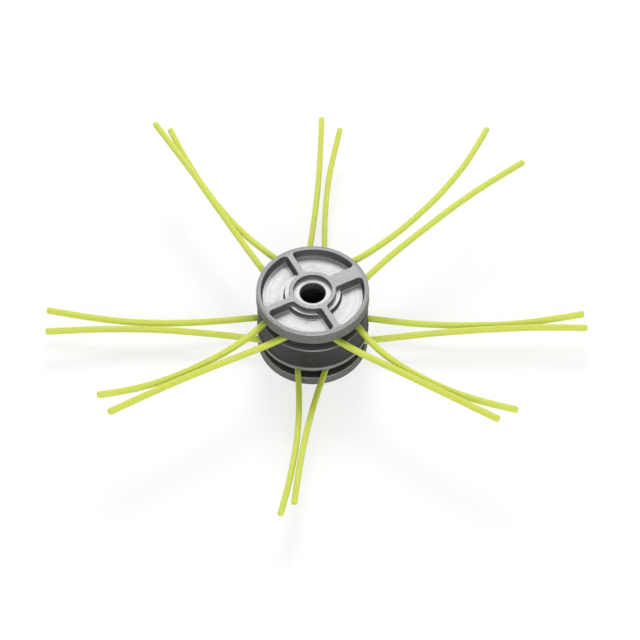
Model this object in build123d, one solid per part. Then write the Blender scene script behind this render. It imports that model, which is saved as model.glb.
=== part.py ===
from build123d import *
import os
from math import acos, copysign, cos, degrees, radians, sin, tan

# Multi-line trimmer head: three castings on one axis with two line grooves between them.
# Millimetres. The origin is on the axis at the bottom face, +Z runs up to the ribbed face.

# Stack of castings and grooves
head_diameter = 75.0
bottom_rim_height = 7.5
groove_height = 8.0
drum_height = 22.5
top_rim_height = 10.0

# Centre hole and the seat for the gearbox arbor
bore_diameter = 17.0
bore_chamfer = 0.4
arbor_seat_diameter = 25.4
arbor_seat_depth = 3.5

# Top plate
hub_ring_diameter = 31.0
ledge_width = 2.9
ledge_depth = 3.5
ledge_gap = 3.6
ledge_relief = 0.2
top_rim_wall = 3.3
top_floor = 3.0
rib_width = 4.1
wide_rib_width = 9.9
first_rib_angle = 27.5
pocket_corner = 2.6
pocket_floor_fillet = 1.6
cast_edge = 0.4
rim_draft = 0.3
rim_round = 1.2
rim_chamfer = 0.5

# Line posts, one between every two neighbouring exits
post_count = 4
post_diameter = 9.2
post_setback = 11.0
post_root = 0.8
upper_post_angle = 0.0
lower_post_angle = 45.0

# Middle plate, a drum that is cored from below
core_hub_diameter = 28.0
core_shoulder = 1.2
drum_top_wall = 4.0
drum_wall = 3.5
drum_rib_width = 5.0
drum_edge_setback = 0.4
drum_edge_round = 2.0
band_setback = 0.9
lip_height = 2.8
lip_slope = 0.9
lip_overhang = 0.2
lip_round = 1.1

# Bottom plate
bottom_floor = 3.0
bottom_rim_wall = 3.5
bottom_hub_diameter = 34.0
bottom_edge_round = 1.2

# M4 socket screws, all eight alike
screw_diameter = 4.0
screw_length = 12.0
screw_head_diameter = 7.0
screw_head_height = 4.0
screw_socket = 3.0
screw_socket_depth = 2.0
screw_chamfer = 0.4
thread_clearance = 0.05
hole_clearance = 0.25
head_clearance = 0.3
head_sink = 0.2
tapped_spare = 1.0

# Nylon lines, square with round corners
line_width = 4.0
line_corner = 1.3
line_tip_round = 0.8
line_clearance = 0.3
wrap_corners = 4
wrap_lead = 6.0
wrap_ease = 0.15
run_share = 0.45

# Heights and radii that follow from the sizes above
head_radius = head_diameter / 2
bore_radius = bore_diameter / 2
bottom_top = bottom_rim_height
drum_bottom = bottom_top + groove_height
drum_top = drum_bottom + drum_height
plate_bottom = drum_top + groove_height
plate_top = plate_bottom + top_rim_height
post_radius = post_diameter / 2
post_circle = head_radius - post_setback
core_hub_radius = core_hub_diameter / 2
screw_seat = screw_head_height + head_sink
lower_line_height = bottom_top + groove_height / 2
upper_line_height = drum_top + groove_height / 2


def around(count, first_angle):
    """Angles of an even pattern about the axis, in degrees."""
    return [first_angle + 360.0 * index / count for index in range(count)]


def place(angle, height):
    """A place on the circle of posts."""
    return Pos(post_circle * cos(radians(angle)), post_circle * sin(radians(angle)), height)


def turned(points):
    """A solid of revolution from its half section, as radius and height."""
    section = make_face(Polyline(*points, close=True))
    return revolve(Plane.XZ * section, axis=Axis.Z)


def round_edge(solid, radius_at, height, size):
    """Round the circular edge that lies at one radius and height."""
    ring = solid.edges().filter_by(GeomType.CIRCLE).filter_by(
        lambda edge: abs(edge.radius - radius_at) < 1e-4 and abs(edge.arc_center.Z - height) < 1e-4)
    return fillet(ring, size)


def sectors(inner_radius, outer_radius, rib_angles, rib_widths):
    """Flat sectors of a ring, parted by radial ribs."""
    ring = Circle(outer_radius) - Circle(inner_radius)
    for angle, width in zip(rib_angles, rib_widths):
        rib = Rectangle(2 * outer_radius, width, align=(Align.MIN, Align.CENTER))
        ring -= Rot(0, 0, angle) * rib
    return ring


def pockets(outline, mouth, floor, corner, floor_round=0.0):
    """Tools for cast pockets with round corners, from the mouth height to the floor height."""
    tools = []
    for face in fillet(outline.vertices(), corner).faces():
        tool = Pos(0, 0, mouth) * extrude(face, amount=floor - mouth, dir=(0, 0, 1))
        if floor_round:
            tool = fillet(tool.edges().filter_by_position(Axis.Z, floor, floor), floor_round)
        tools.append(tool)
    return tools


def post(angle, foot, height):
    """A line post that hangs below a plate, from its foot up into the plate."""
    body = Cylinder(post_radius, height, align=(Align.CENTER, Align.CENTER, Align.MIN))
    return place(angle, foot) * body


def hole(angle, height, diameter, depth):
    """A tool for a screw hole that goes up from the given height."""
    body = Cylinder(diameter / 2, depth, align=(Align.CENTER, Align.CENTER, Align.MIN))
    return place(angle, height) * body


def top_plate():
    """Dished casting with ribs, a stepped hub, the arbor seat and the upper posts."""
    floor = plate_bottom + top_floor
    upper_radius = head_radius - rim_draft
    seat = plate_top - arbor_seat_depth
    seat_radius = arbor_seat_diameter / 2
    plate = turned([
        (bore_radius, plate_bottom),
        (head_radius, plate_bottom),
        (upper_radius, plate_top),
        (seat_radius, plate_top),
        (seat_radius, seat),
        (bore_radius + bore_chamfer, seat),
        (bore_radius, seat - bore_chamfer),
    ])
    plate = round_edge(plate, head_radius, plate_bottom, bottom_edge_round)
    plate = round_edge(plate, upper_radius, plate_top, rim_round)

    hub_radius = hub_ring_diameter / 2
    ledge_radius = hub_radius + ledge_width
    wall_radius = head_radius - top_rim_wall
    rib_angles = around(4, first_rib_angle)
    rib_widths = [wide_rib_width] + 3 * [rib_width]
    ledge = plate_top - ledge_depth
    mouth = sectors(hub_radius, wall_radius, rib_angles, rib_widths)
    for tool in pockets(mouth, plate_top, ledge, pocket_corner):
        plate -= tool
    deep = sectors(ledge_radius, wall_radius, rib_angles, rib_widths)
    for tool in pockets(deep, ledge, floor, pocket_corner, pocket_floor_fillet):
        plate -= tool
    lips = plate.edges().filter_by_position(Axis.Z, plate_top, plate_top)
    inner_lips = lips.filter_by(lambda edge: edge.geom_type == GeomType.LINE or edge.radius <= wall_radius)
    plate = chamfer(inner_lips, cast_edge)

    # The ledge is open beside the last rib, down to the middle of the floor's round
    opening = Rectangle(ledge_radius + pocket_corner, ledge_gap, align=(Align.MIN, Align.MAX))
    opening = Rot(0, 0, rib_angles[-1]) * Pos(0, ledge_relief - rib_width / 2) * opening
    opening = opening - Circle(hub_radius)
    gap_floor = floor + pocket_floor_fillet / 2
    plate -= Pos(0, 0, gap_floor) * extrude(opening, amount=ledge - gap_floor)

    for angle in around(post_count, upper_post_angle):
        plate += post(angle, drum_top, groove_height)
    plate = round_edge(plate, post_radius, plate_bottom, post_root)
    for angle in around(post_count, upper_post_angle):
        depth = screw_length - drum_top_wall + tapped_spare
        plate -= hole(angle, drum_top, screw_diameter + 2 * thread_clearance, depth)
    return plate


def middle_plate():
    """Drum between the grooves, with the hub that spans both and the lower posts."""
    edge_radius = head_radius - drum_edge_setback
    band_radius = head_radius - band_setback
    lip_radius = head_radius + lip_overhang
    lip_top = drum_bottom + lip_height
    plate = turned([
        (bore_radius, bottom_top),
        (core_hub_radius, bottom_top),
        (core_hub_radius, drum_bottom),
        (lip_radius, drum_bottom),
        (lip_radius, lip_top),
        (band_radius, lip_top + lip_slope),
        (edge_radius, drum_top),
        (core_hub_radius, drum_top),
        (core_hub_radius, plate_bottom),
        (bore_radius, plate_bottom),
    ])
    plate = round_edge(plate, lip_radius, drum_bottom, lip_round)
    plate = round_edge(plate, lip_radius, lip_top, lip_round)
    plate = round_edge(plate, edge_radius, drum_top, drum_edge_round)

    core = sectors(core_hub_radius + core_shoulder, band_radius - drum_wall,
                   around(post_count, lower_post_angle), post_count * [drum_rib_width])
    for tool in pockets(core, drum_bottom, drum_top - drum_top_wall, pocket_corner, pocket_floor_fillet):
        plate -= tool
    for angle in around(post_count, lower_post_angle):
        plate += post(angle, bottom_top, drum_top - drum_top_wall / 2 - bottom_top)
    for angle in around(post_count, lower_post_angle):
        depth = screw_length - bottom_top + screw_seat + tapped_spare
        plate -= hole(angle, bottom_top, screw_diameter + 2 * thread_clearance, depth)
    for angle in around(post_count, upper_post_angle):
        plate -= hole(angle, drum_top - drum_top_wall, screw_diameter + 2 * hole_clearance, drum_top_wall)
    return plate


def bottom_plate():
    """Closing plate, smooth above, with ribs and counterbored screw bosses below."""
    plate = turned([
        (bore_radius + bore_chamfer, 0),
        (head_radius - rim_chamfer, 0),
        (head_radius, rim_chamfer),
        (head_radius, bottom_top),
        (bore_radius, bottom_top),
        (bore_radius, bore_chamfer),
    ])
    plate = round_edge(plate, head_radius, bottom_top, bottom_edge_round)

    boss_radius = screw_head_diameter / 2 + head_clearance + bottom_floor
    rib_angles = around(post_count, lower_post_angle)
    recess = sectors(bottom_hub_diameter / 2, head_radius - bottom_rim_wall, rib_angles, post_count * [rib_width])
    for tool in pockets(recess, 0, bottom_top - bottom_floor, pocket_corner, pocket_floor_fillet):
        plate -= tool
    for angle in rib_angles:
        boss = Cylinder(boss_radius, bottom_top, align=(Align.CENTER, Align.CENTER, Align.MIN))
        plate += place(angle, 0) * boss
    for angle in rib_angles:
        plate -= hole(angle, 0, screw_head_diameter + 2 * head_clearance, screw_seat)
        plate -= hole(angle, 0, screw_diameter + 2 * hole_clearance, bottom_top)
    return plate


def socket_screw(seat):
    """A socket screw that points up, with the underside of its head at the seat height."""
    head = Cylinder(screw_head_diameter / 2, screw_head_height, align=(Align.CENTER, Align.CENTER, Align.MAX))
    head = chamfer(head.edges().sort_by(Axis.Z)[0], screw_chamfer)
    socket = extrude(RegularPolygon(screw_socket / 2, 6, major_radius=False), amount=screw_socket_depth)
    head -= Pos(0, 0, -screw_head_height) * socket
    shank = Cylinder(screw_diameter / 2, screw_length, align=(Align.CENTER, Align.CENTER, Align.MIN))
    shank = chamfer(shank.edges().sort_by(Axis.Z)[-1], screw_chamfer)
    return Pos(0, 0, seat) * (head + shank)


# Free ends of the lines, from the rim to the cut tip, as x, y and the rise over the middle of the groove.
# Each line has two, one on each side of its post.
upper_ends = {
    "upper_line_1": (
        [(29.5, -20, 0), (39.5, -36, 0.5), (53.5, -51, 1.6), (71, -64.2, 2.5), (90, -75.5, 3.3),
         (110, -84.2, 4.4), (129.5, -90.6, 5.8)],
        [(32, 15.3, 0), (44.3, 29.7, 0.2), (60.6, 46.1, 1), (80, 63.7, 2.3), (101.5, 82.7, 4),
         (125, 100.5, 6), (148, 116, 8)]),
    "upper_line_2": (
        [(20, 29.5, 0), (39, 42, 0.2), (59, 58.8, 1), (77.5, 77.7, 2.4), (94.5, 97.6, 4),
         (111.5, 122, 6), (124.5, 147.7, 8)],
        [(-18.1, 31, 0), (-31.8, 43.6, -0.5), (-47, 59.6, -1.3), (-62.6, 80.8, -1.7), (-76.6, 103.5, -1.1),
         (-89.9, 128.2, 0.4), (-101.2, 153.7, 2.2)]),
    "upper_line_3": (
        [(-29.5, 21, 0), (-41, 39.5, 0.6), (-53.5, 60, 1.9), (-67, 82.5, 3.7), (-81.5, 107, 5.3),
         (-97, 131.5, 6.6), (-111.5, 154, 8)],
        [(-31.5, -16.7, 0), (-43, -29.4, 0), (-59, -42.2, 0.2), (-79, -55.3, 1.2), (-100, -66.2, 2.7),
         (-119, -73.4, 4.4), (-137.5, -77.8, 6.3)]),
    "upper_line_4": (
        [(-18, -28.4, 0), (-33, -37, 0.5), (-52, -46.8, 1.7), (-72.5, -57.6, 2.9), (-93, -69.1, 4.2),
         (-112, -80.6, 5.6), (-129.3, -91.5, 7)],
        [(15.5, -31, 0), (31, -43, 1.6), (48, -54.2, 3.4), (65, -65.3, 4.8), (82.5, -77, 6.2),
         (100, -88.3, 7.2), (117, -99.2, 8)]),
}
lower_ends = {
    "lower_line_1": (
        [(37, 9.3, 0), (58, 5.5, 0.2), (82, 2.7, 0.8), (107, 1.4, 1.5), (132, 1.7, 1.9),
         (158, 3.8, 3.6), (184, 7.4, 6)],
        [(10, 36, 0), (8.7, 55, 0.3), (8.4, 77, 0.5), (9.2, 101, 2.2), (11.3, 126, 4.9),
         (15.6, 150, 8.3), (20.8, 172.5, 12)]),
    "lower_line_2": (
        [(-7.5, 36, 0), (-4.1, 56, 0.3), (-0.7, 78, 0.7), (2.4, 104, 2.3), (4.9, 130, 4.9),
         (6.4, 157, 8.3), (7.3, 183, 12)],
        [(-37, 10.3, 0), (-57, 7.9, 0.3), (-78, 5.6, 1), (-100, 4.3, 1.9), (-127, 4.8, 3.1),
         (-154, 8.1, 4.5), (-180.5, 12.9, 6)]),
    "lower_line_3": (
        [(-37, -8, 0), (-57, -5, 0.3), (-78, -2.8, 1), (-100, -1.1, 1.9), (-127, -0.9, 3.1),
         (-154, -2.3, 4.5), (-180, -5, 6)],
        [(-10, -35, 0), (-9.3, -54, 1), (-9.4, -74, 2.9), (-10.9, -95, 5.4), (-13.7, -116, 8.3),
         (-17.2, -136, 11.2), (-20.9, -153, 14)]),
    "lower_line_4": (
        [(8, -35, 0), (3, -52.3, 1.6), (-1.5, -72, 4.4), (-5.5, -92.7, 7.3), (-8.6, -113, 9.9),
         (-10.7, -130.5, 12), (-12.3, -145, 14)],
        [(37, -9.4, 0), (58, -7.5, 1.1), (82, -5.6, 2.7), (107, -4.6, 4.3), (132, -3.9, 5.5),
         (159, -3.7, 6.3), (185, -5, 6.8)]),
}


def wrap_points(angle, height, start, end):
    """Corner points of a line that goes round the hub side of a post, from start to end."""
    reach = post_radius + line_clearance + line_width / 2
    centre = place(angle, height).position
    inward = Vector(-cos(radians(angle)), -sin(radians(angle)), 0)
    tangents = []
    for point in (start, end):
        away = point - centre
        side = copysign(1.0, inward.cross(away).Z)
        tangents.append(side * (inward.get_angle(away) - degrees(acos(reach / away.length))))
    first, last = tangents
    step = (last - first) / wrap_corners
    corner_reach = reach / cos(radians(step / 2))
    corners = []
    for index in range(wrap_corners):
        spoke = inward.rotate(Axis.Z, first + (index + 0.5) * step)
        corners.append(centre + spoke * corner_reach)
    leads = []
    for tangent in tangents:
        spoke = inward.rotate(Axis.Z, tangent)
        along = spoke.rotate(Axis.Z, copysign(90.0, tangent))
        leads.append(centre + spoke * (reach + wrap_ease) + along * wrap_lead)
    return [leads[0]] + corners + [leads[1]]


def corner_radius(before, corner, after):
    """The largest arc that the two runs at a corner leave room for."""
    run_in = corner - before
    run_out = after - corner
    turn = radians(run_in.get_angle(run_out))
    return run_share * min(run_in.length, run_out.length) / tan(turn / 2)


def nylon_line(name, angle, height, ends):
    """A line on straight runs and tangent arcs, from one rounded tip to the other."""
    first, second = [[Vector(x, y, height + rise) for x, y, rise in points] for points in ends]
    route = list(reversed(first))
    route += wrap_points(angle, height, first[0], second[0])
    route += second
    radii = [corner_radius(*route[index:index + 3]) for index in range(len(route) - 2)]
    path = FilletPolyline(*route, radius=radii)
    along = path % 0
    start = Plane(origin=path @ 0, x_dir=Vector(0, 0, 1).cross(along), z_dir=along)
    section = start * RectangleRounded(line_width, line_width, line_corner)
    bar = sweep(section, path=path)
    share = bar.volume / (section.area * path.length)
    free = len(first) - 1
    print(name, "length", round(path.length, 1), "volume share", round(share, 5),
          "radii", [round(radius) for radius in radii[:free]],
          [round(radius, 1) for radius in radii[free:-free]], [round(radius) for radius in radii[-free:]])
    tips = [bar.faces().sort_by_distance(path @ end)[0] for end in (0, 1)]
    return fillet([edge for tip in tips for edge in tip.edges()], line_tip_round)


nodes = {
    "top_plate": top_plate(),
    "middle_plate": middle_plate(),
    "bottom_plate": bottom_plate(),
}
for index, angle in enumerate(around(post_count, upper_post_angle), start=1):
    nodes[f"upper_screw_{index}"] = place(angle, 0) * socket_screw(drum_top - drum_top_wall)
for index, angle in enumerate(around(post_count, lower_post_angle), start=1):
    nodes[f"lower_screw_{index}"] = place(angle, 0) * socket_screw(screw_seat)
for (name, ends), angle in zip(upper_ends.items(), around(post_count, upper_post_angle)):
    nodes[name] = nylon_line(name, angle, upper_line_height, ends)
for (name, ends), angle in zip(lower_ends.items(), around(post_count, lower_post_angle)):
    nodes[name] = nylon_line(name, angle, lower_line_height, ends)

os.makedirs("parts", exist_ok=True)
for name, shape in nodes.items():
    export_step(shape, f"parts/{name}.step")
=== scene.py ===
import bmesh
import bpy
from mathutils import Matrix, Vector


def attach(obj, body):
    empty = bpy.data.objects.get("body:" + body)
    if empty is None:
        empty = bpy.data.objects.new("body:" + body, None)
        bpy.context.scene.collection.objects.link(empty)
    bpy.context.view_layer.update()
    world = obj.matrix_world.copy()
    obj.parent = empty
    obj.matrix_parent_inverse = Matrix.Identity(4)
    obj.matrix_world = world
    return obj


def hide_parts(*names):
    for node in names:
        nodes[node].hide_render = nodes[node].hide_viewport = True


# Multi-line trimmer head on a white floor, in metres, as the solids stand

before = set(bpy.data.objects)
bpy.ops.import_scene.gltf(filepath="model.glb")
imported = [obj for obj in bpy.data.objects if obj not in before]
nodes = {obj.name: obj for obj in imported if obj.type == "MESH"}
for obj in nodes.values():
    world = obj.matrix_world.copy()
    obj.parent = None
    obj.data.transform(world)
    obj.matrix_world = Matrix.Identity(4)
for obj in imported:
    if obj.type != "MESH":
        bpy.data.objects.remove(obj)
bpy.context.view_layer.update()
scene = bpy.context.scene
print("frame loaded,", len(nodes), "solids")


# Shader maths in plain Python

class Value:
    # an output socket that can be added, multiplied and so on
    def __init__(self, paint, socket):
        self.paint = paint
        self.socket = socket

    def maths(self, operation, first, second):
        return self.paint.node("ShaderNodeMath", {"operation": operation}, {0: first, 1: second})

    def __add__(self, other):
        return self.maths("ADD", self, other)

    def __radd__(self, other):
        return self.maths("ADD", other, self)

    def __sub__(self, other):
        return self.maths("SUBTRACT", self, other)

    def __rsub__(self, other):
        return self.maths("SUBTRACT", other, self)

    def __mul__(self, other):
        return self.maths("MULTIPLY", self, other)

    def orMore(self, other):
        return self.maths("MAXIMUM", self, other)


class Paint:
    # one material, or the world's tree, with a short way to add nodes
    def __init__(self, name, tree=None):
        if tree is None:
            self.material = bpy.data.materials.new(name)
            self.material.use_nodes = True
            tree = self.material.node_tree
        self.tree = tree

    def link(self, target, inputs):
        for key, value in inputs.items():
            if isinstance(value, Value):
                self.tree.links.new(value.socket, target.inputs[key])
            else:
                target.inputs[key].default_value = value

    def node(self, kind, settings, inputs, output=0):
        made = self.tree.nodes.new(kind)
        for key, setting in settings.items():
            setattr(made, key, setting)
        self.link(made, inputs)
        return Value(self, made.outputs[output])

    def coordinates(self, kind):
        return self.node("ShaderNodeTexCoord", {}, {}, output=kind)

    def upPart(self, vector):
        return self.node("ShaderNodeSeparateXYZ", {}, {0: vector}, output="Z")

    def fromAxis(self, place):
        # distance from the hub axis
        level = self.node("ShaderNodeVectorMath", {"operation": "MULTIPLY"}, {0: place, 1: (1.0, 1.0, 0.0)})
        return self.node("ShaderNodeVectorMath", {"operation": "LENGTH"}, {0: level}, output="Value")

    def rise(self, value, start, end):
        # 0 before start, 1 after end
        return self.node("ShaderNodeMapRange", {"interpolation_type": "SMOOTHSTEP"},
                         {"Value": value, "From Min": start, "From Max": end})

    def band(self, value, low, high, soft):
        # 1 between low and high
        return self.rise(value, low - soft, low + soft) * (1 - self.rise(value, high - soft, high + soft))

    def noise(self, place, scale, detail, rough=0.5):
        return self.node("ShaderNodeTexNoise", {}, {"Vector": place, "Scale": scale, "Detail": detail,
                                                    "Roughness": rough})

    def blend(self, mask, first, second):
        return self.node("ShaderNodeMix", {"data_type": "RGBA"}, {0: mask, 6: first, 7: second}, output=2)

    def shade(self, colour, gain):
        # a colour times a number that varies
        return self.node("ShaderNodeVectorMath", {"operation": "SCALE"}, {0: colour, "Scale": gain})

    def bump(self, height, depth, strength):
        return self.node("ShaderNodeBump", {}, {"Height": height, "Distance": depth, "Strength": strength})

    def principled(self, inputs):
        self.link(self.tree.nodes["Principled BSDF"], inputs)
        return self.material


def grey(level):
    return (level, level, level, 1.0)


def dress(names, material):
    for name in names:
        mesh = nodes[name].data
        mesh.materials.clear()
        mesh.materials.append(material)


# Castings: blasted tops, bright machined recesses, and walls and rim sides painted dark, partly as-cast
# skin and partly painted shade
# A lean is how far a face looks up, from 0 for a wall to 1 for a level face

castLook = {
    "top": (0.40, 0.39, 0.396, 1.0),        # ribs and hub, blasted
    "rim": (0.322, 0.314, 0.319, 1.0),      # top of the rim, a little darker than the ribs
    "recess": (0.50, 0.495, 0.49),          # pocket floors, ledges and the arbor seat
    "wall": (0.118, 0.119, 0.122, 1.0),     # cast skin in the pockets, painted far darker than the tops: as-cast skin plus painted shade on the upright walls
    "side": (0.176, 0.176, 0.173, 1.0),     # outside of the rim, painted darker than the top as painted shade on the upright band
    "edge": grey(0.46),                     # painted highlight on the rounded edges and the bore's mouth
    "soft": 0.0004,                         # width of a change from one to the next
    "flatLean": (0.90, 0.985),
    "sideFrom": 0.0362,
    "rimFrom": 0.0345, "rimSoft": 0.0008,
    "recessFrom": 0.0475, "recessTo": 0.0545,
    "edgeLean": (0.45, 0.88), "edgeLeanSoft": 0.06, "edgeFrom": 0.0550, "edgeShare": 0.8,
    "boreEdge": 0.0092, "boreSoft": 0.0002, "boreHeight": (0.050, 0.0512),
    "grain": 2600.0, "mottle": 260.0, "patch": 70.0, "speckle": 1250.0,
    "plain": 0.72, "grainGain": 0.3, "mottleGain": 0.16, "patchGain": 0.1,
    "speckleGain": 1.15, "speckleLost": 0.85,                   # recesses have little of it
    "stainFrom": 0.42, "stainTo": 0.75, "stainMottle": 0.5,
    "recessGain": 1.04, "stainGain": 0.22,
    "ringPitch": 700.0, "ringWander": 0.002, "ringGain": 0.5,   # turned marks
    "topRough": 0.52, "recessRough": 0.30, "wallRough": 0.5, "roughMottle": 0.16,
    "flatMetal": 0.75, "wallMetal": 0.45, "grazing": grey(0.35),
    "grainRelief": 1.15, "mottleRelief": 0.6, "ringRelief": 0.3,
    "grainLost": 0.95, "mottleLost": 0.3,
    "depth": 0.00006, "bump": 0.9,
}
# Bottom plate: its level top down in the lower groove is painted near black as painted shade, and its edge
# colour is a dimmer painted highlight
closingLook = dict(castLook, top=grey(0.085), rim=grey(0.085), side=(0.186, 0.186, 0.182, 1.0),
                   edge=grey(0.19), edgeFrom=0.0055)


def castAlloy(name, look):
    paint = Paint(name)
    place = paint.coordinates("Object")
    height = paint.upPart(place)
    lean = paint.upPart(paint.coordinates("Normal"))
    radius = paint.fromAxis(place)
    soft = look["soft"]

    flat = paint.rise(lean, *look["flatLean"])
    recess = flat * paint.band(height, look["recessFrom"], look["recessTo"], soft)
    outside = paint.rise(radius, look["sideFrom"] - soft, look["sideFrom"])
    onRim = paint.rise(radius, look["rimFrom"] - look["rimSoft"], look["rimFrom"])
    high = paint.rise(height, look["edgeFrom"] - soft, look["edgeFrom"])
    inBore = 1 - paint.rise(radius, look["boreEdge"] - look["boreSoft"], look["boreEdge"])
    atBore = inBore * paint.rise(height, *look["boreHeight"])
    # Mask for the painted highlight on rounded edges high up and at the bore's mouth
    edge = paint.band(lean, *look["edgeLean"], look["edgeLeanSoft"]) * high.orMore(atBore)

    grain = paint.noise(place, look["grain"], detail=3.0, rough=0.6)
    mottle = paint.noise(place, look["mottle"], detail=4.0, rough=0.55)
    patch = paint.noise(place, look["patch"], detail=2.0)
    speckle = (paint.noise(place, look["speckle"], detail=1.0) - 0.5) * look["speckleGain"]
    turned = paint.node("ShaderNodeCombineXYZ", {}, {0: radius, 1: patch * look["ringWander"], 2: height})
    rings = paint.noise(turned, look["ringPitch"], detail=3.0, rough=0.65) - 0.5
    stain = paint.rise(patch + (mottle - 0.5) * look["stainMottle"], look["stainFrom"], look["stainTo"])

    # Painted shade: upright faces take the dark wall and side colours, level faces the top and rim colours
    colour = paint.blend(outside, look["wall"], look["side"])
    colour = paint.blend(flat, colour, paint.blend(onRim, look["top"], look["rim"]))
    floors = paint.shade(look["recess"], look["recessGain"] - stain * look["stainGain"])
    colour = paint.blend(recess, colour, floors)
    # Painted highlight laid over the rounded edges
    colour = paint.blend(edge * look["edgeShare"], colour, look["edge"])
    gain = look["plain"] + grain * look["grainGain"] + mottle * look["mottleGain"]
    gain = gain + patch * look["patchGain"] + speckle * (1 - recess * look["speckleLost"])
    gain = gain + recess * rings * look["ringGain"]

    rough = look["wallRough"] + flat * (look["topRough"] - look["wallRough"])
    rough = rough + recess * (look["recessRough"] - look["topRough"])
    rough = rough + (mottle - 0.5) * look["roughMottle"]
    relief = grain * (look["grainRelief"] - recess * look["grainLost"])
    relief = relief + mottle * (look["mottleRelief"] - recess * look["mottleLost"])
    relief = relief + recess * rings * look["ringRelief"]
    return paint.principled({
        "Base Color": paint.shade(colour, gain), "Roughness": rough,
        "Metallic": look["wallMetal"] + flat * (look["flatMetal"] - look["wallMetal"]),
        "Specular Tint": look["grazing"], "Normal": paint.bump(relief, look["depth"], look["bump"])})


drumLook = {
    "band": (0.046, 0.047, 0.048, 1.0),     # drum band, kept far darker than the plates
    "upperEdgeHighlight": grey(0.17),                     # painted highlight on the rounded upper edge
    "lip": (0.285, 0.285, 0.28, 1.0),       # beaded lower lip, painted much lighter than the band as a painted highlight
    "deck": grey(0.112),                    # top of the drum, in the upper groove
    "outside": (0.0340, 0.0352),
    "highlightHeight": (0.0359, 0.0368), "highlightLean": (0.42, 0.84), "highlightLeanSoft": 0.10,
    "highlightShare": 0.55, "highlightMottle": 0.6,
    "deckLean": (0.90, 0.98),
    "lipFrom": 0.0152, "lipTo": 0.0186, "lipSoft": 0.0003, "lipShare": 0.6, "lipMottle": 0.5,
    "grain": 2400.0, "mottle": 300.0,
    "plain": 0.70, "grainGain": 0.4, "mottleGain": 0.2,
    "rough": 0.46, "roughMottle": 0.2, "highlightPolish": 0.08,
    "metal": 0.45, "grazing": grey(0.35),
    "mottleRelief": 0.5, "depth": 0.00005, "bump": 0.9,
}


def darkAlloy(name, look):
    paint = Paint(name)
    place = paint.coordinates("Object")
    height = paint.upPart(place)
    lean = paint.upPart(paint.coordinates("Normal"))

    outside = paint.rise(paint.fromAxis(place), *look["outside"])
    high = paint.rise(height, *look["highlightHeight"])
    # Painted highlight on the upward-leaning part of the drum's rounded upper edge
    upperEdgeHighlight = outside * paint.band(lean, *look["highlightLean"], look["highlightLeanSoft"]) * high
    deck = paint.rise(lean, *look["deckLean"]) * high
    lip = outside * paint.band(height, look["lipFrom"], look["lipTo"], look["lipSoft"])
    grain = paint.noise(place, look["grain"], detail=3.0, rough=0.6)
    mottle = paint.noise(place, look["mottle"], detail=4.0, rough=0.55)

    highlightAmount = upperEdgeHighlight * (look["highlightShare"] + mottle * look["highlightMottle"])
    colour = paint.blend(highlightAmount, look["band"], look["upperEdgeHighlight"])
    # Painted highlight: the lower lip takes the light lip colour
    colour = paint.blend(lip * (look["lipShare"] + mottle * look["lipMottle"]), colour, look["lip"])
    colour = paint.blend(deck, colour, look["deck"])
    gain = look["plain"] + grain * look["grainGain"] + mottle * look["mottleGain"]
    rough = look["rough"] + (mottle - 0.5) * look["roughMottle"] - upperEdgeHighlight * look["highlightPolish"]
    relief = grain + mottle * look["mottleRelief"]
    return paint.principled({
        "Base Color": paint.shade(colour, gain), "Roughness": rough, "Metallic": look["metal"],
        "Specular Tint": look["grazing"], "Normal": paint.bump(relief, look["depth"], look["bump"])})


screwLook = {
    "colour": (0.45, 0.45, 0.46),
    "grain": 3000.0, "film": 450.0,
    "plain": 0.6, "grainGain": 0.4, "filmGain": 0.4,
    "rough": 0.36, "roughFilm": 0.2, "metal": 0.9,
    "depth": 0.00002, "bump": 0.6,
}


def zincSteel(name, look):
    paint = Paint(name)
    place = paint.coordinates("Object")
    grain = paint.noise(place, look["grain"], detail=3.0, rough=0.6)
    film = paint.noise(place, look["film"], detail=2.0)
    gain = look["plain"] + grain * look["grainGain"] + film * look["filmGain"]
    return paint.principled({
        "Base Color": paint.shade(look["colour"], gain),
        "Roughness": look["rough"] + (film - 0.5) * look["roughFilm"], "Metallic": look["metal"],
        "Normal": paint.bump(grain, look["depth"], look["bump"])})


nylonLook = {
    "pale": (0.575, 0.64, 0.087, 1.0),      # free ends, the line's own colour
    "deep": (0.40, 0.53, 0.055, 1.0),       # painted shade near the head, where the head shadows the lines
    "deepTo": 0.036, "paleFrom": 0.044, "wander": 0.02,
    "cloud": 110.0, "streak": 900.0,
    "plain": 0.93, "streakGain": 0.14,
    "rough": 0.44, "roughStreak": 0.15, "index": 1.53,
    "glow": 0.9, "glowReach": 0.003, "glowTint": (1.0, 0.9, 0.35),
    "depth": 0.00003, "bump": 0.7,
}


def nylon(name, look):
    paint = Paint(name)
    place = paint.coordinates("Object")
    cloud = paint.noise(place, look["cloud"], detail=2.0)
    streak = paint.noise(place, look["streak"], detail=3.0, rough=0.6)
    # Painted shade: darker, greener colour close to the head, blending to the pale colour further out
    along = paint.fromAxis(place) + (cloud - 0.5) * look["wander"]
    colour = paint.blend(paint.rise(along, look["deepTo"], look["paleFrom"]), look["deep"], look["pale"])
    return paint.principled({
        "Base Color": paint.shade(colour, look["plain"] + streak * look["streakGain"]),
        "Roughness": look["rough"] + (streak - 0.5) * look["roughStreak"], "IOR": look["index"],
        "Subsurface Weight": look["glow"], "Subsurface Radius": look["glowTint"],
        "Subsurface Scale": look["glowReach"],
        "Normal": paint.bump(streak, look["depth"], look["bump"])})


dress(["top_plate"], castAlloy("cast_alloy", castLook))
dress(["bottom_plate"], castAlloy("closing_alloy", closingLook))
dress(["middle_plate"], darkAlloy("dark_cast_alloy", drumLook))
screws = [name for name in nodes if "_screw_" in name]
dress(screws, zincSteel("screw_steel", screwLook))
print("castings and", len(screws), "screws dressed")


# Nylon lines: each is bent round a post and shows two arms, listed from the bend to the cut tip

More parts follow.
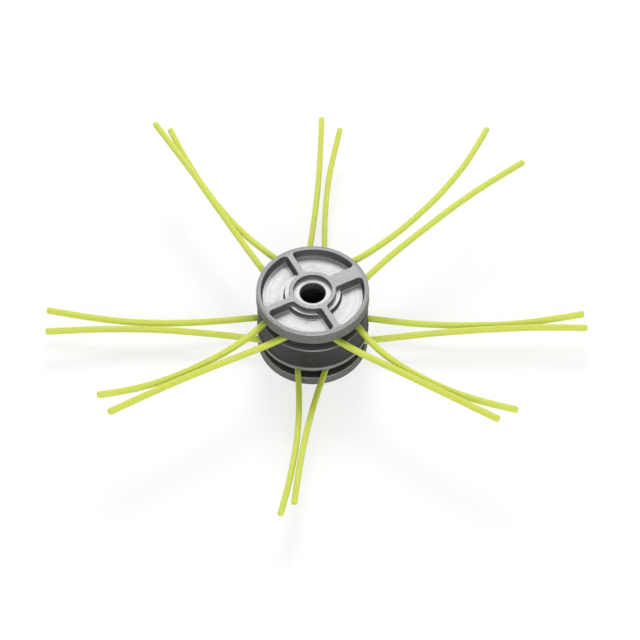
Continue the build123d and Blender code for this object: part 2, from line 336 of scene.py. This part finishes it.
lineSize = {
    "width": 0.004,          # square with round corners
    "flat": 0.62,            # share of half a side that stays about straight
    "sectionSteps": 4,       # points on each span of the section
    "steps": 12,             # rings on each span of the route
    "exitPoint": 4,          # the route's point at the mouth of the groove
    "tipRound": 0.0010, "tipSegments": 3,
    "tipSlack": 0.00025,     # depth in which the faces of the cut are found
    "weld": 1e-6,
}
lineArms = {
    "upper_line_1_a": [
        (0.01967, 0.00098, 0.042), (0.01951, -0.00012, 0.042), (0.0199, -0.00231, 0.042),
        (0.02316, -0.00864, 0.042), (0.0295, -0.02, 0.042), (0.0395, -0.036, 0.0425),
        (0.0535, -0.051, 0.0436), (0.071, -0.0642, 0.0445), (0.09, -0.0755, 0.0453),
        (0.11, -0.0842, 0.0464), (0.1295, -0.0906, 0.0478),
    ],
    "upper_line_1_b": [
        (0.01967, 0.00098, 0.042), (0.01983, 0.00209, 0.042), (0.02083, 0.00408, 0.042),
        (0.02574, 0.00923, 0.042), (0.032, 0.0153, 0.042), (0.0443, 0.0297, 0.0422),
        (0.0606, 0.0461, 0.043), (0.08, 0.0637, 0.0443), (0.1015, 0.0827, 0.046),
        (0.125, 0.1005, 0.048), (0.148, 0.116, 0.05),
    ],
    "upper_line_2_a": [
        (-0.00043, 0.01961, 0.042), (0.00054, 0.01955, 0.042), (0.00244, 0.01997, 0.042),
        (0.00864, 0.02316, 0.042), (0.02, 0.0295, 0.042), (0.039, 0.042, 0.0422),
        (0.059, 0.0588, 0.043), (0.0775, 0.0777, 0.0444), (0.0945, 0.0976, 0.046),
        (0.1115, 0.122, 0.048), (0.1245, 0.1477, 0.05),
    ],
    "upper_line_2_b": [
        (-0.00043, 0.01961, 0.042), (-0.0014, 0.01967, 0.042), (-0.00323, 0.02033, 0.042),
        (-0.00899, 0.02427, 0.042), (-0.0181, 0.031, 0.042), (-0.0318, 0.0436, 0.0415),
        (-0.047, 0.0596, 0.0407), (-0.0626, 0.0808, 0.0403), (-0.0766, 0.1035, 0.0409),
        (-0.0899, 0.1282, 0.0424), (-0.1012, 0.1537, 0.0442),
    ],
    "upper_line_3_a": [
        (-0.01964, -0.00077, 0.042), (-0.01953, 0.00024, 0.042), (-0.01989, 0.00224, 0.042),
        (-0.02296, 0.00855, 0.042), (-0.0295, 0.021, 0.042), (-0.041, 0.0395, 0.0426),
        (-0.0535, 0.06, 0.0439), (-0.067, 0.0825, 0.0457), (-0.0815, 0.107, 0.0473),
        (-0.097, 0.1315, 0.0486), (-0.1115, 0.154, 0.05),
    ],
    "upper_line_3_b": [
        (-0.01964, -0.00077, 0.042), (-0.01976, -0.00178, 0.042), (-0.02056, -0.00365, 0.042),
        (-0.02495, -0.00913, 0.042), (-0.0315, -0.0167, 0.042), (-0.043, -0.0294, 0.042),
        (-0.059, -0.0422, 0.0422), (-0.079, -0.0553, 0.0432), (-0.1, -0.0662, 0.0447),
        (-0.119, -0.0734, 0.0464), (-0.1375, -0.0778, 0.0483),
    ],
    "upper_line_4_a": [
        (0.00078, -0.01964, 0.042), (-0.00027, -0.01952, 0.042), (-0.00235, -0.01993, 0.042),
        (-0.00863, -0.02316, 0.042), (-0.018, -0.0284, 0.042), (-0.033, -0.037, 0.0425),
        (-0.052, -0.0468, 0.0437), (-0.0725, -0.0576, 0.0449), (-0.093, -0.0691, 0.0462),
        (-0.112, -0.0806, 0.0476), (-0.1293, -0.0915, 0.049),
    ],
    "upper_line_4_b": [
        (0.00078, -0.01964, 0.042), (0.00184, -0.01977, 0.042), (0.00378, -0.02063, 0.042),
        (0.00917, -0.0252, 0.042), (0.0155, -0.031, 0.042), (0.031, -0.043, 0.0436),
        (0.048, -0.0542, 0.0454), (0.065, -0.0653, 0.0468), (0.0825, -0.077, 0.0482),
        (0.1, -0.0883, 0.0492), (0.117, -0.0992, 0.05),
    ],
    "lower_line_1_a": [
        (0.01378, 0.01393, 0.0115), (0.01459, 0.0131, 0.0115), (0.01666, 0.01206, 0.0115),
        (0.02374, 0.01095, 0.0115), (0.037, 0.0093, 0.0115), (0.058, 0.0055, 0.0117),
        (0.082, 0.0027, 0.0123), (0.107, 0.0014, 0.013), (0.132, 0.0017, 0.0134),
        (0.158, 0.0038, 0.0151), (0.184, 0.0074, 0.0175),
    ],
    "lower_line_1_b": [
        (0.01378, 0.01393, 0.0115), (0.01298, 0.01477, 0.0115), (0.012, 0.01687, 0.0115),
        (0.0111, 0.02397, 0.0115), (0.01, 0.036, 0.0115), (0.0087, 0.055, 0.0118),
        (0.0084, 0.077, 0.012), (0.0092, 0.101, 0.0137), (0.0113, 0.126, 0.0164),
        (0.0156, 0.15, 0.0198), (0.0208, 0.1725, 0.0235),
    ],
    "lower_line_2_a": [
        (-0.01425, 0.0135, 0.0115), (-0.01342, 0.01421, 0.0115), (-0.01228, 0.01607, 0.0115),
        (-0.01048, 0.02293, 0.0115), (-0.0075, 0.036, 0.0115), (-0.0041, 0.056, 0.0118),
        (-0.0007, 0.078, 0.0122), (0.0024, 0.104, 0.0138), (0.0049, 0.13, 0.0164),
        (0.0064, 0.157, 0.0198), (0.0073, 0.183, 0.0235),
    ],
    "lower_line_2_b": [
        (-0.01425, 0.0135, 0.0115), (-0.01507, 0.01279, 0.0115), (-0.01708, 0.01195, 0.0115),
        (-0.02414, 0.01122, 0.0115), (-0.037, 0.0103, 0.0115), (-0.057, 0.0079, 0.0118),
        (-0.078, 0.0056, 0.0125), (-0.1, 0.0043, 0.0134), (-0.127, 0.0048, 0.0146),
        (-0.154, 0.0081, 0.016), (-0.1805, 0.0129, 0.0175),
    ],
    "lower_line_3_a": [
        (-0.01365, -0.01408, 0.0115), (-0.01439, -0.01327, 0.0115), (-0.01629, -0.01219, 0.0115),
        (-0.02322, -0.01064, 0.0115), (-0.037, -0.008, 0.0115), (-0.057, -0.005, 0.0118),
        (-0.078, -0.0028, 0.0125), (-0.1, -0.0011, 0.0134), (-0.127, -0.0009, 0.0146),
        (-0.154, -0.0023, 0.016), (-0.18, -0.005, 0.0175),
    ],
    "lower_line_3_b": [
        (-0.01365, -0.01408, 0.0115), (-0.01291, -0.01489, 0.0115), (-0.012, -0.01689, 0.0115),
        (-0.01107, -0.02393, 0.0115), (-0.01, -0.035, 0.0115), (-0.0093, -0.054, 0.0125),
        (-0.0094, -0.074, 0.0144), (-0.0109, -0.095, 0.0169), (-0.0137, -0.116, 0.0198),
        (-0.0172, -0.136, 0.0227), (-0.0209, -0.153, 0.0255),
    ],
    "lower_line_4_a": [
        (0.01409, -0.01364, 0.0115), (0.01331, -0.01435, 0.0115), (0.01224, -0.01619, 0.0115),
        (0.01054, -0.02304, 0.0115), (0.008, -0.035, 0.0115), (0.003, -0.0523, 0.0131),
        (-0.0015, -0.072, 0.0159), (-0.0055, -0.0927, 0.0188), (-0.0086, -0.113, 0.0214),
        (-0.0107, -0.1305, 0.0235), (-0.0123, -0.145, 0.0255),
    ],
    "lower_line_4_b": [
        (0.01409, -0.01364, 0.0115), (0.01487, -0.01293, 0.0115), (0.0168, -0.01203, 0.0115),
        (0.02378, -0.01097, 0.0115), (0.037, -0.0094, 0.0115), (0.058, -0.0075, 0.0126),
        (0.082, -0.0056, 0.0142), (0.107, -0.0046, 0.0158), (0.132, -0.0039, 0.017),
        (0.159, -0.0037, 0.0178), (0.185, -0.005, 0.0183),
    ],
}


def lineSection():
    # a closed spline with two points beside each corner of the square
    half = lineSize["width"] / 2
    near = half * lineSize["flat"]
    quarter = [(half, -near), (half, near), (near, half), (-near, half)]
    corners = quarter + [(-across, -up) for across, up in quarter]
    curve = bpy.data.curves.new("line_section", "CURVE")
    spline = curve.splines.new("NURBS")
    spline.points.add(len(corners) - 1)
    for knot, corner in zip(spline.points, corners):
        knot.co = (*corner, 0.0, 1.0)
    spline.order_u = 3
    spline.use_cyclic_u = True
    spline.resolution_u = lineSize["sectionSteps"]
    holder = bpy.data.objects.new("line_section", curve)
    scene.collection.objects.link(holder)
    return holder


def armCurve(name, points):
    curve = bpy.data.curves.new(name, "CURVE")
    curve.dimensions = "3D"
    curve.twist_mode = "Z_UP"
    spline = curve.splines.new("NURBS")
    spline.points.add(len(points) - 1)
    for knot, point in zip(spline.points, points):
        knot.co = (*point, 1.0)
    spline.order_u = 3
    spline.use_endpoint_u = True
    spline.resolution_u = lineSize["steps"]
    return curve


def meshOf(holder):
    bpy.context.view_layer.update()
    return bpy.data.meshes.new_from_object(holder.evaluated_get(bpy.context.evaluated_depsgraph_get()))


def roundTip(shape, tip, along):
    # one face for the cut, then a rounded rim
    cut = [face for face in shape.faces
           if all(abs((vert.co - tip).dot(along)) < lineSize["tipSlack"] for vert in face.verts)]
    caps = bmesh.ops.dissolve_faces(shape, faces=cut)["region"]
    rim = [edge for face in caps for edge in face.edges]
    bmesh.ops.bevel(shape, geom=rim, offset=lineSize["tipRound"], segments=lineSize["tipSegments"],
                    affect="EDGES", profile=0.5, material=-1)


def makeArm(name, points, section, material):
    curve = armCurve(name, points)
    holder = bpy.data.objects.new(name + "_route", curve)
    scene.collection.objects.link(holder)
    path = [vert.co.copy() for vert in meshOf(holder).vertices]
    curve.bevel_mode = "OBJECT"
    curve.bevel_object = section
    curve.use_fill_caps = True
    mesh = meshOf(holder)
    bpy.data.objects.remove(holder)
    shape = bmesh.new()
    shape.from_mesh(mesh)
    bmesh.ops.remove_doubles(shape, verts=shape.verts, dist=lineSize["weld"])
    bmesh.ops.recalc_face_normals(shape, faces=shape.faces)
    roundTip(shape, path[-1], (path[-1] - path[-2]).normalized())
    for face in shape.faces:
        face.smooth = len(face.verts) == 4
    shape.to_mesh(mesh)
    shape.free()
    mesh.name = name
    mesh.materials.clear()
    mesh.materials.append(material)
    arm = bpy.data.objects.new(name, mesh)
    scene.collection.objects.link(arm)
    return arm, path


nylonPaint = nylon("nylon_line", nylonLook)
section = lineSection()
for name, points in lineArms.items():
    arm, path = makeArm(name, points, section, nylonPaint)
    line = name.rsplit("_", 1)[0]
    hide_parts(line)
    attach(arm, "root")
bpy.data.objects.remove(section)
print(len(lineArms), "line arms laid")


# White floor, soft light from the back and the front, and the camera

floorLook = {"half": 6.0, "white": grey(0.97), "rough": 0.9, "lift": 0.68}
lampAim = (0, 0, 0.03)
lamps = {
    "back_softbox": {"place": (0.05, 1.25, 1.45), "size": 1.6, "power": 8.0, "mirrored": True},
    "back_key": {"place": (0.0, 1.35, 1.4), "size": 0.6, "power": 18.0, "mirrored": False},
    "front_softbox": {"place": (0.15, -1.4, 0.9), "size": 1.0, "power": 13.0, "mirrored": True},
}
worldLook = {"light": 0.42, "seen": 1.0}
cameraSet = {
    "place": (0.0, -0.7298, 1.0086), "aim": (0.00474, -0.0161, 0.0440),
    "lens": 102.5, "sensor": 36.0, "nearest": 0.05,
}


def turnTo(place, aim):
    return (Vector(aim) - Vector(place)).to_track_quat("-Z", "Y").to_euler()


def whiteFloor():
    shape = bmesh.new()
    bmesh.ops.create_grid(shape, x_segments=1, y_segments=1, size=floorLook["half"])
    mesh = bpy.data.meshes.new("floor")
    shape.to_mesh(mesh)
    shape.free()
    paint = Paint("floor_white")
    seen = paint.node("ShaderNodeLightPath", {}, {}, output="Is Camera Ray")
    glow = paint.node("ShaderNodeEmission", {}, {"Color": grey(1.0), "Strength": 1.0})
    paint.principled({"Base Color": floorLook["white"], "Roughness": floorLook["rough"],
                      "Specular IOR Level": 0.0})
    plain = Value(paint, paint.tree.nodes["Principled BSDF"].outputs[0])
    mixed = paint.node("ShaderNodeMixShader", {}, {0: seen * floorLook["lift"], 1: plain, 2: glow})
    paint.link(paint.tree.nodes["Material Output"], {"Surface": mixed})
    mesh.materials.append(paint.material)
    floor = bpy.data.objects.new("floor", mesh)
    scene.collection.objects.link(floor)


def whiteWorld():
    world = bpy.data.worlds.new("studio")
    world.use_nodes = True
    scene.world = world
    paint = Paint("studio", world.node_tree)
    rays = world.node_tree.nodes.new("ShaderNodeLightPath")
    seen = Value(paint, rays.outputs["Is Camera Ray"]) + Value(paint, rays.outputs["Is Glossy Ray"])
    seen = seen + Value(paint, rays.outputs["Is Transmission Ray"])
    strength = worldLook["light"] + seen * (worldLook["seen"] - worldLook["light"])
    paint.link(world.node_tree.nodes["Background"], {"Color": grey(1.0), "Strength": strength})


def softLamp(name, place, size, power, mirrored):
    lamp = bpy.data.lights.new(name, "AREA")
    lamp.shape = "SQUARE"
    lamp.size = size
    lamp.energy = power
    holder = bpy.data.objects.new(name, lamp)
    holder.location = place
    holder.rotation_euler = turnTo(place, lampAim)
    holder.visible_glossy = mirrored
    scene.collection.objects.link(holder)


def photoCamera():
    lens = bpy.data.cameras.new("camera")
    lens.lens = cameraSet["lens"]
    lens.sensor_width = cameraSet["sensor"]
    lens.clip_start = cameraSet["nearest"]
    camera = bpy.data.objects.new("camera", lens)
    camera.location = cameraSet["place"]
    camera.rotation_euler = turnTo(cameraSet["place"], cameraSet["aim"])
    scene.collection.objects.link(camera)
    scene.camera = camera


whiteFloor()
whiteWorld()
for name, lamp in lamps.items():
    softLamp(name, **lamp)
photoCamera()
scene.view_settings.view_transform = "Standard"
print("floor, light and camera set")
